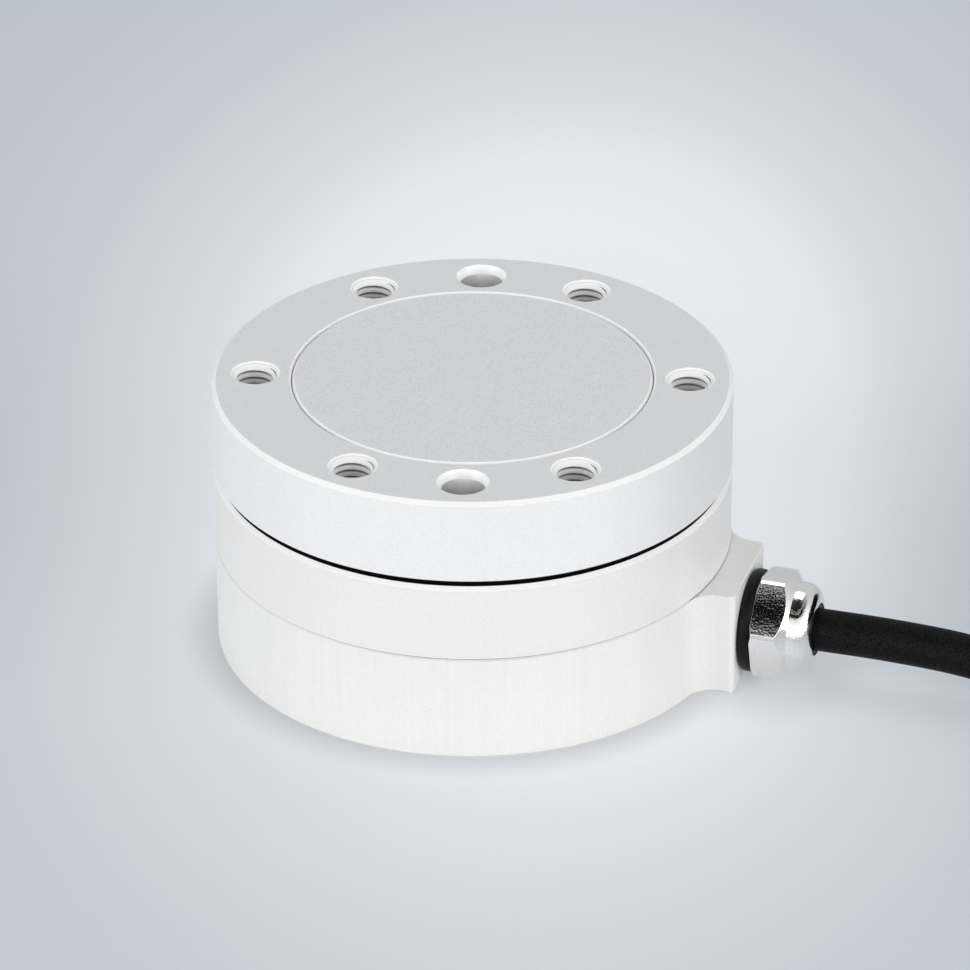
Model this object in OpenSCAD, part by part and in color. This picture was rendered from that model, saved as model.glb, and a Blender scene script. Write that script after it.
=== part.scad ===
// Miniature six-axis force torque sensor with a cable outlet at the side.
// Frame: origin at the centre of the base's underside, +Z up to the tool face,
// +X through one tapped hole of the tool side. All sizes in millimetres.

/* [Sensor body] */
// Outer diameter of base, sensing body and tool flange
body_d = 36; // [35:0.5:40]
// Height of the base housing
base_h = 7.75; // [7.5:0.25:9]
// Height of the sensing body's outer ring
sense_h = 5.6; // [5.4:0.1:7]
// Free gap between sensing body and tool flange
flange_gap = 0.45; // [0.3:0.05:0.7]
// Height of the tool flange
flange_h = 6.05; // [5.85:0.1:8]
// Chamfer on the visible rims beside the gap and on the tool face
rim_chamfer = 0.3; // [0.1:0.05:0.4]
// Small chamfer along the seam between base and sensing body
seam_chamfer = 0.1; // [0.05:0.05:0.2]
// Chamfer around the underside of the base
foot_chamfer = 0.2; // [0.1:0.05:0.3]

/* [Tool and robot hole patterns] */
// Pitch circle of the tapped holes and dowel holes, both sides
pattern_pcd = 30; // [29.5:0.25:30.5]
// Number of tapped holes on each side
tap_count = 6; // [3, 6]
// Tap drill diameter of the tapped holes
tap_d = 2.5; // [2.4:0.05:2.6]
// Full-width depth of the tapped holes
tap_depth = 4.6; // [4:0.1:4.8]
// Diameter of the countersink at a tapped hole's mouth
tap_mouth_d = 3.4; // [3:0.1:3.5]
// Dowel hole diameter
dowel_d = 3; // [2.8:0.1:3.1]
// Depth of the dowel holes
dowel_depth = 5; // [4:0.25:5]
// Width of the lead-in cone of the dowel holes
dowel_lead = 0.27; // [0.1:0.01:0.3]
// Depth of the lead-in cone of the dowel holes
dowel_lead_h = 0.6; // [0.3:0.1:0.8]

/* [Cover disc] */
// Diameter of the cover disc let into the tool face
cover_d = 24.9; // [24:0.1:25]
// Thickness of the cover disc
cover_t = 1.5; // [1:0.1:2]
// Radial clearance around the cover disc
cover_clear = 0.05; // [0.03:0.01:0.1]
// Chamfer on the disc's edge and on the recess's edge
cover_chamfer = 0.28; // [0.1:0.02:0.3]

/* [Sensing element] */
// Radius of the central hub
hub_r = 6.4; // [6.2:0.1:7]
// Height from the base's seam to the hub's underside
hub_lift = 0.85; // [0.6:0.05:1.2]
// Radius of the locating spigot on the hub
spigot_r = 2.8; // [2.4:0.1:3]
// Height of the locating spigot
spigot_h = 1.2; // [0.8:0.1:1.5]
// Radius of the passage through the hub
hub_bore_r = 1.5; // [1:0.1:1.8]
// Width of each measuring beam
beam_w = 2.2; // [1.8:0.1:2.6]
// Height of each measuring beam
beam_h = 2.6; // [2:0.1:3.2]
// Fillet radius at both ends of a beam
beam_fillet = 0.6; // [0.3:0.1:0.7]
// Inner radius of the sensing body's outer ring
ring_in_r = 10.4; // [10.2:0.1:10.6]
// Thickness of the flexible wall that a beam ends in
flexure_t = 0.7; // [0.5:0.05:0.9]
// Width of the relief slot behind the flexible wall
slot_w = 0.8; // [0.6:0.05:0.9]
// Length of the relief slot
slot_len = 7.6; // [6:0.2:8]
// Room between a strain gauge and the fillets at both ends of its beam
gauge_clear = 0.2; // [0.1:0.05:0.3]
// Width of a strain gauge
gauge_w = 1.4; // [1:0.1:1.6]
// Thickness of a strain gauge with its cover
gauge_t = 0.08; // [0.06:0.01:0.12]
// Diameter of a gauge wire
gauge_wire_d = 0.3; // [0.2:0.05:0.4]

/* [Screws, pins and seals] */
// Nominal diameter of the hub screws
hub_screw_d = 2.5; // [2:0.1:2.6]
// Pitch circle of the hub screws
hub_screw_pcd = 9.2; // [9:0.1:9.4]
// Shank length of the hub screws
hub_screw_len = 6; // [5:0.5:6]
// Nominal diameter of the body screws
body_screw_d = 2; // [1.8:0.1:2.2]
// Shank length of the body screws
body_screw_len = 8; // [7.5:0.5:9]
// Diameter of the locating pins
pin_d = 1.5; // [1.2:0.1:1.6]
// Length of the locating pins
pin_len = 4; // [3:0.5:5]
// Clearance around pins and seals, and around threads in their tapped holes
fit_clear = 0.02; // [0.01:0.01:0.04]
// Radial clearance around the body screws' shanks in the base
body_hole_clear = 0.04; // [0.03:0.01:0.05]
// Distance from the body screws' shanks to the middle of the sealing ring
seal_margin = 0.95; // [0.9:0.05:1]
// Cord diameter of the sealing ring
oring_d = 0.8; // [0.7:0.05:0.85]
// Depth of the sealing ring's groove
oring_groove_h = 0.65; // [0.5:0.05:0.7]
// Inner radius of the dust seal in the flange gap
dust_seal_r = 16.1; // [15.8:0.1:16.2]
// Width of the dust seal
dust_seal_w = 0.8; // [0.6:0.1:0.9]
// Depth of the dust seal's groove in the sensing body
dust_groove_h = 0.4; // [0.3:0.05:0.6]

/* [Electronics] */
// Wall between the electronics chamber and the sealing ring's groove
chamber_wall = 0.6; // [0.5:0.05:0.7]
// Thickness of the base's floor
floor_t = 2; // [1.6:0.1:2.1]
// Height of the board posts above the floor
post_h = 3.6; // [3.5:0.05:3.7]
// Radius of a board post
post_r = 1.7; // [1.5:0.1:1.9]
// Distance of the board posts from the axis
post_ring_r = 8.8; // [8.6:0.1:9]
// Room between the circuit board and the chamber's wall
board_gap = 0.8; // [0.6:0.1:1]
// Thickness of the circuit board
board_t = 0.8; // [0.6:0.1:1]
// Nominal diameter of the board screws
board_screw_d = 1.6; // [1.4:0.1:1.8]
// Length of the board screws' threads in their posts
board_thread = 2.4; // [2:0.1:2.6]
// Side length of the processor chip
processor_w = 5; // [4:0.5:5]
// Height of the processor chip
processor_h = 0.9; // [0.7:0.1:1]

/* [Cable outlet] */
// Direction of the cable outlet about the axis
outlet_angle = -15; // [-17:1:-14]
// Distance of the outlet's face from the axis
outlet_face = 20; // [19.8:0.1:22]
// Width of the outlet block
outlet_w = 8; // [7.6:0.1:8.4]
// Fillet radius between outlet block and round wall
outlet_fillet = 2; // [1.5:0.1:2.2]
// Corner radius at the outlet's face
outlet_corner = 0.4; // [0.2:0.1:0.6]
// Height of the cable's axis above the underside
gland_z = 3.85; // [3.85:0.01:3.9]
// Thread diameter of the cable gland
gland_d = 5; // [4.8:0.1:5.2]
// Depth of the gland's thread in the outlet
gland_depth = 3.8; // [3.4:0.1:4]
// Width across flats of the gland nut
nut_flats = 7; // [6.8:0.1:7]
// Width across the broken corners of the gland nut
nut_corners = 7.9; // [7.7:0.05:7.9]
// Length of the nut's hexagon with its end chamfer
nut_hex_len = 2.5; // [2.2:0.1:2.8]
// Radius of the nut's round dome
dome_r = 3.2; // [3:0.05:3.3]
// Length of the dome in front of the hexagon
dome_len = 1.5; // [1.4:0.1:1.8]
// Thickness of the rubber ring behind the nut
gland_ring_t = 0.95; // [0.8:0.05:1.1]
// Outer diameter of the rubber ring behind the nut
gland_ring_d = 7.2; // [6.8:0.1:7.4]

/* [Cable and connector] */
// Cable diameter
cable_d = 3; // [2.8:0.1:3.1]
// Diameter of a cable core
core_d = 0.5; // [0.4:0.05:0.6]
// Mean radius of the stored coil
coil_r = 17; // [16.5:0.5:17.5]
// Turns side by side in the coil
coil_cols = 4; // [3, 4]
// Layers of the coil
coil_rows = 4; // [3, 4]
// Strap thickness of the coil ties
tie_t = 0.6; // [0.4:0.1:0.8]
// Strap width of the coil ties, as an angle of the coil
tie_span = 12; // [8:1:16]
// Outer diameter of the connector's coupling ring
plug_ring_d = 10; // [9.5:0.1:10]
// Length of the coupling ring
plug_ring_len = 10; // [8:0.5:11]
// Diameter of the connector's shell
plug_shell_d = 8.4; // [8:0.1:9]
// Length of the connector's shell behind the coupling ring
plug_shell_len = 9; // [8:0.5:12]
// Length of the connector's rubber boot
plug_boot_len = 12; // [10:0.5:14]
// Diameter of the connector's sleeve inside the coupling ring
plug_sleeve_d = 7.2; // [7:0.1:7.4]
// Number of contact pins in the connector
plug_pins = 7; // [5:1:7]

/* [Hidden] */
$fn = 96;

// Heights of the stack
seam_z = base_h;
gap_z = seam_z + sense_h;
flange_z = gap_z + flange_gap;
top_z = flange_z + flange_h;
body_r = body_d / 2;
pattern_r = pattern_pcd / 2;
cut = 0.5;

// Room around screw heads, around shanks in plain holes, and below screw ends
head_clear = 0.1;
shank_clear = 0.1;
drill_room = 0.3;

// Cover recess and hub screw seats
recess_z = top_z - cover_t;
recess_r = cover_d / 2 + cover_clear;
hub_head_r = 0.9 * hub_screw_d;
hub_head_h = hub_screw_d;
hub_seat_z = recess_z - hub_head_h - 0.25;
hub_screw_r = hub_screw_pcd / 2;
hub_screw_angles = [45, 135, 225, 315];

// Measuring cross
hub_z = seam_z + hub_lift;
beam_z = seam_z + sense_h / 2 - beam_h / 2;
beam_angles = [0, 90, 180, 270];
gauge_mid_r = (hub_r + ring_in_r) / 2;
gauge_len = ring_in_r - hub_r - 2 * beam_fillet - 2 * gauge_clear;

// Body screws and locating pins between base and sensing body
body_screw_angles = [30, 150, 210, 330];
body_head_r = 0.95 * body_screw_d;
body_head_h = body_screw_d;
body_seat_z = body_head_h + 0.2;
pin_angles = [15, 195];

// Sealing ring inside the body screws, and the chamber inside its groove
groove_clear = 0.05;
oring_r = pattern_r - body_screw_d / 2 - seal_margin;
groove_in_r = oring_r - oring_d / 2 - groove_clear;
groove_out_r = oring_r + oring_d / 2 + groove_clear;
chamber_r = groove_in_r - chamber_wall;

// Dowel holes lie across the tapped hole on the X axis
dowel_angles = [90, 270];

// Electronics
board_z = floor_t + post_h;
board_top_z = board_z + board_t;
post_angles = [30, 150, 270];
board_head_r = board_screw_d;
board_head_h = 0.6 * board_screw_d;
board_screw_len = board_t + board_thread;
board_r = chamber_r - board_gap;
recess_w = 0.3;
recess_h = 0.35;

// Chips on the board: length, width and height, and places along and across the outlet
converter_size = [4, 3, 0.8];
converter_n = -2.6;
converter_t = 5.5;
crystal_size = [2, 1.6, 0.7];
crystal_n = -4.6;
capacitor_len = 1.2;
capacitor_w = 0.6;
capacitor_pitch = 1.3;
capacitor_row_n = 4.2;
capacitor_row_t = 4.6;
pin_mark = 0.3;

// Outlet fillets: centres set a little into wall and block, to end on clean edges
fillet_bite = 0.01;
fillet_at = body_r + outlet_fillet - fillet_bite;
fillet_t = outlet_w / 2 + outlet_fillet - fillet_bite;
fillet_n = sqrt(fillet_at * fillet_at - fillet_t * fillet_t);

// Cable outlet, measured along the outlet's axis from the sensor's axis
nut_start = outlet_face + gland_ring_t;
hex_end = nut_start + nut_hex_len;
nut_end = hex_end + dome_len;
dome_round = 1.25;
nut_turn = 16.5;
tail_bore_r = cable_d / 2 + 0.2;
tail_end = chamber_r - 1.2;
stem_end = nut_start + 2;
connector_n = 6.2;
connector_depth = 3.2;
connector_w = 7.6;
connector_h = 2.1;
core_pitch = 1;
core_ring_r = 0.75;

// Cable route in the outlet's frame: distance along the outlet, sideways, height
cable_route = [[30, 0, 3.85], [35, 0, 3.6], [40, 0, 2.85], [46, 0, 2.15]];
coil_at = [59, 21.5];
coil_lift = tie_t;
coil_w = coil_cols * cable_d;
coil_h = coil_rows * cable_d;
end_route = [[75.8, 3.5, 10.4], [80.8, 7, 9.2], [84.8, 12, 7.5], [87.2, 18, 5.9],
             [88, 24, 5]];
plug_at = [88, 29.5, 5];
tie_angles = [60, 185];

// Lengths along the connector, from the boot's thin end
boot_end = plug_boot_len;
shell_end = boot_end + plug_shell_len;
ring_end = shell_end + plug_ring_len;
sleeve_end = ring_end + 2;
insert_start = ring_end - 5;
insert_end = ring_end - 1;
sleeve_wall = 0.6;

// ---------- helpers ----------

// Places children on the sensor's pitch circle at each of the given angles
module around(angles, r) {
    for (a = angles)
        rotate([0, 0, a])
            translate([r, 0, 0])
                children();
}

// Turns the outlet's frame into the sensor's frame
module outlet_frame() {
    rotate([0, 0, outlet_angle])
        children();
}

// Lays a revolved shape's axis along the cable outlet
module along_outlet() {
    outlet_frame()
        translate([0, 0, gland_z])
            rotate([0, 90, 0])
                children();
}

// Lays a revolved shape's axis along the connector
module along_plug() {
    outlet_frame()
        translate(plug_at)
            rotate([-90, 0, 0])
                children();
}

// Blind tapped hole, mouth at z = 0, pointing down, with a drill point
module tapped_hole() {
    r = tap_d / 2;
    mouth_r = tap_mouth_d / 2;
    tip_h = r * tan(31);
    rotate_extrude($fn = 48)
        polygon([[0, cut], [mouth_r, cut], [mouth_r, 0], [r, r - mouth_r],
                 [r, -tap_depth], [0, -tap_depth - tip_h]]);
}

// Blind dowel hole with a lead-in cone, mouth at z = 0, pointing down
module dowel_hole() {
    r = dowel_d / 2;
    mouth_r = r + dowel_lead;
    rotate_extrude($fn = 48)
        polygon([[0, cut], [mouth_r, cut], [mouth_r, 0], [r, -dowel_lead_h],
                 [r, -dowel_depth], [0, -dowel_depth]]);
}

// Both hole patterns of one mounting side, mouths at z = 0
module mounting_pattern() {
    around([for (i = [0 : tap_count - 1]) i * 360 / tap_count], pattern_r)
        tapped_hole();
    around(dowel_angles, pattern_r)
        dowel_hole();
}

// Cap screw with a hexagon socket: head above z = 0, shank below
module cap_screw(d, len, head_r, head_h) {
    difference() {
        union() {
            rotate_extrude($fn = 48)
                polygon([[0, 0], [head_r, 0], [head_r, head_h - 0.08 * d],
                         [head_r - 0.08 * d, head_h], [0, head_h]]);
            rotate_extrude($fn = 48)
                polygon([[0, 0.05], [d / 2, 0.05], [d / 2, -len + 0.15 * d],
                         [0.35 * d, -len], [0, -len]]);
        }
        translate([0, 0, head_h - 0.5 * d])
            cylinder(d = 0.9 * d, h = 0.5 * d + cut, $fn = 6);
    }
}

// Direction of a route at point i: along the chord between its neighbours
function route_dir(p, i) =
    let (v = p[min(i + 1, len(p) - 1)] - p[max(i - 1, 0)]) v / norm(v);

// Ring of points around route point i, square to the route
function route_ring(p, i, r, sides, up) =
    let (f = route_dir(p, i), s = cross(up, f), u = s / norm(s), w = cross(f, u))
    [for (k = [0 : sides - 1]) p[i] + r * (cos(k * 360 / sides) * u + sin(k * 360 / sides) * w)];

// Tube swept along a route of points; up is a direction that the route never takes
module route_tube(p, r, sides = 8, up = [0, 0, 1]) {
    rings = len(p);
    points = [for (i = [0 : rings - 1]) each route_ring(p, i, r, sides, up)];
    walls = [for (i = [0 : rings - 2], k = [0 : sides - 1])
        let (m = (k + 1) % sides, a = i * sides, b = a + sides)
        each [[a + k, b + k, b + m], [a + k, b + m, a + m]]];
    start = [for (k = [0 : sides - 1]) k];
    finish = [for (k = [sides - 1 : -1 : 0]) (rings - 1) * sides + k];
    polyhedron(points, concat(walls, [start], [finish]), convexity = 6);
}

// ---------- tool side ----------

module tool_flange() {
    color([0.83, 0.84, 0.85])
    difference() {
        rotate_extrude()
            polygon([[0, flange_z], [body_r - seam_chamfer, flange_z],
                     [body_r, flange_z + seam_chamfer], [body_r, top_z - rim_chamfer],
                     [body_r - rim_chamfer, top_z], [0, top_z]]);
        translate([0, 0, recess_z])
            cylinder(r = recess_r, h = cover_t + cut);
        translate([0, 0, top_z - cover_chamfer])
            cylinder(r1 = recess_r, r2 = recess_r + cover_chamfer, h = cover_chamfer);
        translate([0, 0, top_z])
            mounting_pattern();
        around(hub_screw_angles, hub_screw_r) {
            translate([0, 0, hub_seat_z])
                cylinder(r = hub_head_r + head_clear, h = top_z - hub_seat_z, $fn = 48);
            translate([0, 0, flange_z - cut])
                cylinder(r = hub_screw_d / 2 + shank_clear, h = top_z - flange_z, $fn = 48);
        }
        translate([0, 0, flange_z - cut])
            cylinder(r = spigot_r + fit_clear, h = spigot_h + 0.2 + cut);
    }
}

module cover_disc() {
    r = cover_d / 2;
    color([0.82, 0.82, 0.83])
    rotate_extrude()
        polygon([[0, recess_z], [r - 0.2, recess_z], [r, recess_z + 0.2],
                 [r, top_z - cover_chamfer], [r - cover_chamfer, top_z], [0, top_z]]);
}

module hub_screws() {
    color([0.2, 0.2, 0.22])
    around(hub_screw_angles, hub_screw_r)
        translate([0, 0, hub_seat_z])
            cap_screw(hub_screw_d, hub_screw_len, hub_head_r, hub_head_h);
}

module dust_seal() {
    r = dust_seal_r + fit_clear;
    w = dust_seal_w - 2 * fit_clear;
    color([0.07, 0.07, 0.08])
    rotate_extrude()
        translate([r, gap_z - dust_groove_h])
            square([w, dust_groove_h + flange_gap]);
}

// ---------- sensing body ----------

// One measuring beam in plan, with its fillets to hub and ring, along +X
module beam_plan() {
    half = beam_w / 2;
    off = half + beam_fillet;
    hub_n = sqrt(pow(hub_r + beam_fillet, 2) - off * off);
    hub_k = hub_r / (hub_r + beam_fillet);
    wall_n = sqrt(pow(ring_in_r - beam_fillet, 2) - off * off);
    wall_k = ring_in_r / (ring_in_r - beam_fillet);
    for (side = [-1, 1])
        scale([1, side])
            difference() {
                polygon([[hub_r - 1, 0], [hub_r - 1, half], [hub_n * hub_k, off * hub_k],
                         [hub_n, off], [hub_n, half], [wall_n, half], [wall_n, off],
                         [wall_n * wall_k, off * wall_k], [ring_in_r + 0.3, half],
                         [ring_in_r + 0.3, 0]]);
                translate([hub_n, off])
                    circle(r = beam_fillet, $fn = 32);
                translate([wall_n, off])
                    circle(r = beam_fillet, $fn = 32);
            }
}

// Relief slot behind a beam's flexible wall, in plan, along +X
module slot_plan() {
    n = ring_in_r + flexure_t + slot_w / 2;
    run = (slot_len - slot_w) / 2;
    translate([n - slot_w / 2, -run])
        square([slot_w, 2 * run]);
    for (side = [-1, 1])
        translate([n, side * run])
            circle(d = slot_w, $fn = 32);
}

module sensing_body() {
    color([0.86, 0.86, 0.86])
    difference() {
        union() {
            rotate_extrude()
                polygon([[ring_in_r, seam_z], [body_r - seam_chamfer, seam_z],
                         [body_r, seam_z + seam_chamfer], [body_r, gap_z - rim_chamfer],
                         [body_r - rim_chamfer, gap_z], [ring_in_r, gap_z]]);
            translate([0, 0, hub_z])
                cylinder(r = hub_r, h = flange_z - hub_z);
            translate([0, 0, hub_z])
                cylinder(r = spigot_r, h = flange_z - hub_z + spigot_h);
            for (a = beam_angles)
                rotate([0, 0, a])
                    translate([0, 0, beam_z])
                        linear_extrude(beam_h)
                            beam_plan();
        }
        for (a = beam_angles)
            rotate([0, 0, a])
                translate([0, 0, seam_z - cut])
                    linear_extrude(sense_h + 2 * cut)
                        slot_plan();
        translate([0, 0, hub_z - cut])
            cylinder(r = hub_bore_r, h = flange_z + spigot_h - hub_z + 2 * cut);
        around(hub_screw_angles, hub_screw_r)
            translate([0, 0, hub_seat_z - hub_screw_len - drill_room])
                cylinder(r = hub_screw_d / 2 + fit_clear, h = hub_screw_len + 1, $fn = 48);
        around(body_screw_angles, pattern_r)
            translate([0, 0, seam_z - cut])
                cylinder(r = body_screw_d / 2 + fit_clear,
                         h = body_seat_z + body_screw_len + drill_room - seam_z + cut, $fn = 48);
        around(pin_angles, pattern_r)
            translate([0, 0, seam_z - cut])
                cylinder(r = pin_d / 2 + fit_clear, h = pin_len / 2 + cut, $fn = 48);
        translate([0, 0, gap_z - dust_groove_h])
            difference() {
                cylinder(r = dust_seal_r + dust_seal_w, h = dust_groove_h + cut);
                translate([0, 0, -cut])
                    cylinder(r = dust_seal_r, h = dust_groove_h + 3 * cut);
            }
    }
}

// Gauges on the top, underside and both flanks of each beam
module strain_gauges() {
    color([0.85, 0.6, 0.25])
    for (a = beam_angles)
        rotate([0, 0, a]) {
            for (z = [beam_z - gauge_t, beam_z + beam_h])
                translate([gauge_mid_r - gauge_len / 2, -gauge_w / 2, z])
                    cube([gauge_len, gauge_w, gauge_t]);
            for (y = [-beam_w / 2 - gauge_t, beam_w / 2])
                translate([gauge_mid_r - gauge_len / 2, y, beam_z + (beam_h - gauge_w) / 2])
                    cube([gauge_len, gauge_t, gauge_w]);
        }
}

// Two wires from each beam's flank gauges down to the board
module gauge_wires() {
    n = gauge_mid_r;
    y = beam_w / 2 + gauge_t;
    z = beam_z + beam_h / 2;
    color([0.75, 0.35, 0.15])
    for (a = beam_angles, side = [-1, 1])
        rotate([0, 0, a])
            route_tube([[n, side * y, z], [n, side * (y + 0.5), z],
                        [n, side * (y + 0.9), z - 0.5], [n, side * (y + 0.9), z - 1],
                        [n, side * (y + 0.9), board_top_z]],
                       gauge_wire_d / 2, up = [1, 0, 0]);
}

// ---------- base ----------

// Plan of the outlet block with its concave fillets, in the outlet's frame
module outlet_plan() {
    half = outlet_w / 2;
    inner = (body_r - 1) / fillet_at;
    difference() {
        polygon([[fillet_n * inner, -fillet_t * inner], [fillet_n, -fillet_t],
                 [fillet_n, -half], [outlet_face, -half], [outlet_face, half],
                 [fillet_n, half], [fillet_n, fillet_t],
                 [fillet_n * inner, fillet_t * inner]]);
        for (side = [-1, 1]) {
            translate([fillet_n, side * fillet_t])
                circle(r = outlet_fillet, $fn = 64);
            difference() {
                translate([outlet_face - outlet_corner / 2, side * (half - outlet_corner / 2)])
                    square(outlet_corner + 0.001, center = true);
                translate([outlet_face - outlet_corner, side * (half - outlet_corner)])
                    circle(r = outlet_corner, $fn = 32);
            }
        }
    }
}

// Chamfer cuts along the underside of the outlet block
module outlet_foot_cuts() {
    side = foot_chamfer * sqrt(2);
    for (s = [-1, 1]) {
        translate([fillet_n, s * fillet_t, -cut])
            cylinder(r1 = outlet_fillet + foot_chamfer + cut, r2 = outlet_fillet,
                     h = foot_chamfer + cut);
        translate([fillet_n, s * outlet_w / 2, 0])
            rotate([45, 0, 0])
                translate([0, -side / 2, -side / 2])
                    cube([outlet_w, side, side]);
    }
    translate([outlet_face, 0, 0])
        rotate([0, 45, 0])
            cube([side, 2 * outlet_w, side], center = true);
}

// Outlet block; what reaches into the round wall stays below the base's flat faces
module outlet_block() {
    sunk = 0.05;
    difference() {
        linear_extrude(base_h)
            outlet_plan();
        outlet_foot_cuts();
        translate([0, 0, base_h - sunk])
            cylinder(r = body_r - seam_chamfer, h = cut);
        translate([0, 0, sunk - cut])
            cylinder(r = body_r - foot_chamfer, h = cut);
        translate([outlet_face, 0, base_h])
            rotate([0, 45, 0])
                cube([seam_chamfer, 2 * outlet_w, seam_chamfer], center = true);
    }
}

module base_housing() {
    color([0.85, 0.85, 0.86])
    difference() {
        union() {
            rotate_extrude()
                polygon([[0, 0], [body_r - foot_chamfer, 0], [body_r, foot_chamfer],
                         [body_r, base_h - seam_chamfer], [body_r - seam_chamfer, base_h],
                         [0, base_h]]);
            outlet_frame()
                outlet_block();
        }
        difference() {
            translate([0, 0, floor_t])
                cylinder(r = chamber_r, h = base_h - floor_t + cut);
            around(post_angles, post_ring_r)
                cylinder(r = post_r, h = board_z, $fn = 48);
        }
        around(post_angles, post_ring_r)
            translate([0, 0, board_top_z - board_screw_len - drill_room])
                cylinder(r = board_screw_d / 2 + fit_clear, h = base_h, $fn = 32);
        mirror([0, 0, 1])
            mounting_pattern();
        around(body_screw_angles, pattern_r) {
            translate([0, 0, -cut])
                cylinder(r = body_head_r + head_clear, h = body_seat_z + cut, $fn = 48);
            cylinder(r = body_screw_d / 2 + body_hole_clear, h = base_h + cut, $fn = 48);
        }
        around(pin_angles, pattern_r)
            translate([0, 0, seam_z - pin_len / 2])
                cylinder(r = pin_d / 2 + fit_clear, h = pin_len, $fn = 48);
        translate([0, 0, seam_z - oring_groove_h])
            difference() {
                cylinder(r = groove_out_r, h = base_h);
                translate([0, 0, -cut])
                    cylinder(r = groove_in_r, h = base_h + 2 * cut);
            }
        along_outlet() {
            translate([0, 0, outlet_face - gland_depth])
                cylinder(r = gland_d / 2 + fit_clear, h = gland_depth + cut, $fn = 64);
            translate([0, 0, chamber_r - 2])
                cylinder(r = tail_bore_r, h = outlet_face - chamber_r, $fn = 48);
        }
    }
}

// Rubber ring, pressed flat between its groove's floor and the sensing body
module housing_seal() {
    color([0.06, 0.06, 0.07])
    rotate_extrude()
        intersection() {
            translate([oring_r, seam_z - oring_groove_h / 2])
                circle(d = oring_d, $fn = 48);
            translate([oring_r - oring_d, seam_z - oring_groove_h])
                square([2 * oring_d, oring_groove_h]);
        }
}

module locating_pins() {
    color([0.7, 0.7, 0.72])
    around(pin_angles, pattern_r)
        translate([0, 0, seam_z - pin_len / 2])
            rotate_extrude($fn = 48)
                polygon([[0, 0], [0.4 * pin_d, 0], [pin_d / 2, 0.1 * pin_d],
                         [pin_d / 2, pin_len - 0.1 * pin_d], [0.4 * pin_d, pin_len],
                         [0, pin_len]]);
}

module body_screws() {
    color([0.2, 0.2, 0.22])
    around(body_screw_angles, pattern_r)
        translate([0, 0, body_seat_z])
            mirror([0, 0, 1])
                cap_screw(body_screw_d, body_screw_len, body_head_r, body_head_h);
}

// ---------- electronics ----------

module circuit_board() {
    color([0.05, 0.3, 0.16])
    difference() {
        translate([0, 0, board_z])
            cylinder(r = board_r, h = board_t);
        around(post_angles, post_ring_r)
            translate([0, 0, board_z - cut])
                cylinder(r = board_screw_d / 2 + shank_clear, h = board_t + 2 * cut, $fn = 32);
    }
}

module board_screws() {
    color([0.75, 0.75, 0.77])
    around(post_angles, post_ring_r)
        translate([0, 0, board_top_z])
            difference() {
                union() {
                    cylinder(r = board_head_r, h = board_head_h, $fn = 32);
                    translate([0, 0, -board_screw_len])
                        cylinder(d = board_screw_d, h = board_screw_len + 0.1, $fn = 32);
                }
                for (turn = [0, 90])
                    rotate([0, 0, turn])
                        translate([0, 0, board_head_h])
                            cube([1.3 * board_screw_d, recess_w, 2 * recess_h], center = true);
            }
}

// Square package with a chamfered corner at pin one
module chip(w, d, h) {
    linear_extrude(h)
        polygon([[-w / 2, -d / 2], [w / 2, -d / 2], [w / 2, d / 2], [pin_mark - w / 2, d / 2],
                 [-w / 2, d / 2 - pin_mark]]);
}

module processor_chip() {
    color([0.1, 0.1, 0.11])
    outlet_frame()
        translate([0, 0, board_top_z])
            chip(processor_w, processor_w, processor_h);
}

module converter_chips() {
    color([0.1, 0.1, 0.11])
    outlet_frame()
        for (t = [-converter_t, converter_t])
            translate([converter_n, t, board_top_z])
                chip(converter_size[0], converter_size[1], converter_size[2]);
}

module crystal_can() {
    color([0.78, 0.78, 0.8])
    outlet_frame()
        translate([crystal_n, 0, board_top_z])
            linear_extrude(crystal_size[2])
                square([crystal_size[0], crystal_size[1]], center = true);
}

module chip_capacitors() {
    color([0.72, 0.58, 0.42])
    outlet_frame()
        translate([0, 0, board_top_z]) {
            for (t = [-2 : 1 : 2])
                translate([capacitor_row_n, capacitor_pitch * t - capacitor_w / 2, 0])
                    cube([capacitor_len, capacitor_w, capacitor_w]);
            for (side = [-1, 1], n = [0 : 2])
                translate([n * capacitor_len, side * capacitor_row_t - capacitor_len / 2, 0])
                    cube([capacitor_w, capacitor_len, capacitor_w]);
        }
}

module board_connector() {
    n = connector_n - connector_depth;
    color([0.93, 0.91, 0.84])
    outlet_frame()
        translate([n, -connector_w / 2, board_z - connector_h])
            difference() {
                cube([connector_depth, connector_w, connector_h]);
                for (i = [-2.5 : 1 : 2.5])
                    translate([connector_depth, connector_w / 2 + i * core_pitch,
                               connector_h / 2])
                        rotate([0, -90, 0])
                            cylinder(d = core_d + 2 * fit_clear, h = 1, $fn = 24);
            }
}

// Six cores, in a ring where they leave the jacket and in a row at the board connector
module signal_wires() {
    z = board_z - connector_h / 2;
    slots = [2.5, 1.5, -1.5, -2.5, -0.5, 0.5];
    color([0.75, 0.2, 0.15])
    outlet_frame()
        for (i = [0 : 5]) {
            t = core_ring_r * cos(60 * i);
            h = gland_z + core_ring_r * sin(60 * i);
            slot = slots[i] * core_pitch;
            route_tube([[tail_end, t, h], [tail_end - 0.8, t, h],
                        [connector_n + 0.8, slot, z], [connector_n - 0.9, slot, z]],
                       core_d / 2);
        }
}

// ---------- cable outlet ----------

// Cable jacket inside the gland and the base's wall
module cable_tail() {
    color([0.09, 0.09, 0.1])
    along_outlet()
        translate([0, 0, tail_end])
            cylinder(d = cable_d, h = nut_end - tail_end, $fn = 48);
}

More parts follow.
